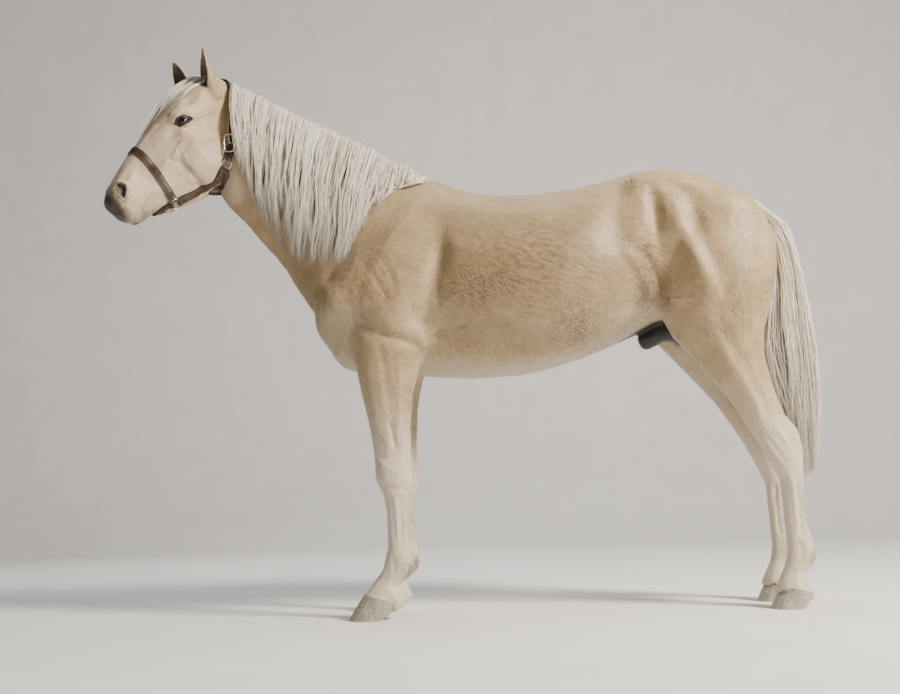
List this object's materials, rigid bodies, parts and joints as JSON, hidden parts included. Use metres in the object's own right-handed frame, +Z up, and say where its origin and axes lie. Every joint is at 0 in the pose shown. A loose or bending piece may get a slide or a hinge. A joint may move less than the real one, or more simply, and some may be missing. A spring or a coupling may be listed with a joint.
{
  "type": "horse",
  "caption": "Still, life-size stallion of stock-horse build standing square, head turned slightly to its left, wearing a leather stable halter.",
  "frame": {"origin": "middle of the bounding box in plan, on the floor under the hooves", "axes": "+Z up, the head points to -X and the animal's left side is -Y"},
  "size_m": [2.411, 0.628, 1.963],
  "materials": {
    "coat": "short, smooth, pale golden coat, paler on the lower legs",
    "hair": "long creamy white hair",
    "dark_skin": "bare dark skin",
    "eye": "wet, dark",
    "horn": "ridged hoof horn",
    "leather": "oiled dark brown strap leather",
    "metal": "worn pale plated steel"
  },
  "bodies": {
    "root": {"ear_left": "coat", "ear_right": "coat", "eye_left": "eye", "eye_right": "eye", "fore_leg_left_lower": "coat", "fore_leg_left_upper": "coat", "fore_leg_right_lower": "coat", "fore_leg_right_upper": "coat", "forelock": "hair", "halter_buckle": "metal", "halter_cheek_strap_left": "leather", "halter_cheek_strap_right": "leather", "halter_chin_strap": "leather", "halter_crown_strap": "leather", "halter_jaw_ring_left": "metal", "halter_jaw_ring_right": "metal", "halter_nose_ring_left": "metal", "halter_nose_ring_right": "metal", "halter_noseband": "leather", "halter_throat_strap": "leather", "head": "coat", "hind_leg_left_lower": "coat", "hind_leg_left_upper": "coat", "hind_leg_right_lower": "coat", "hind_leg_right_upper": "coat", "hoof_fore_left": "horn", "hoof_fore_right": "horn", "hoof_hind_left": "horn", "hoof_hind_right": "horn", "mane": "hair", "neck": "coat", "sheath": "dark_skin", "tail": "hair", "trunk": "coat"}
  },
  "joints": []
}
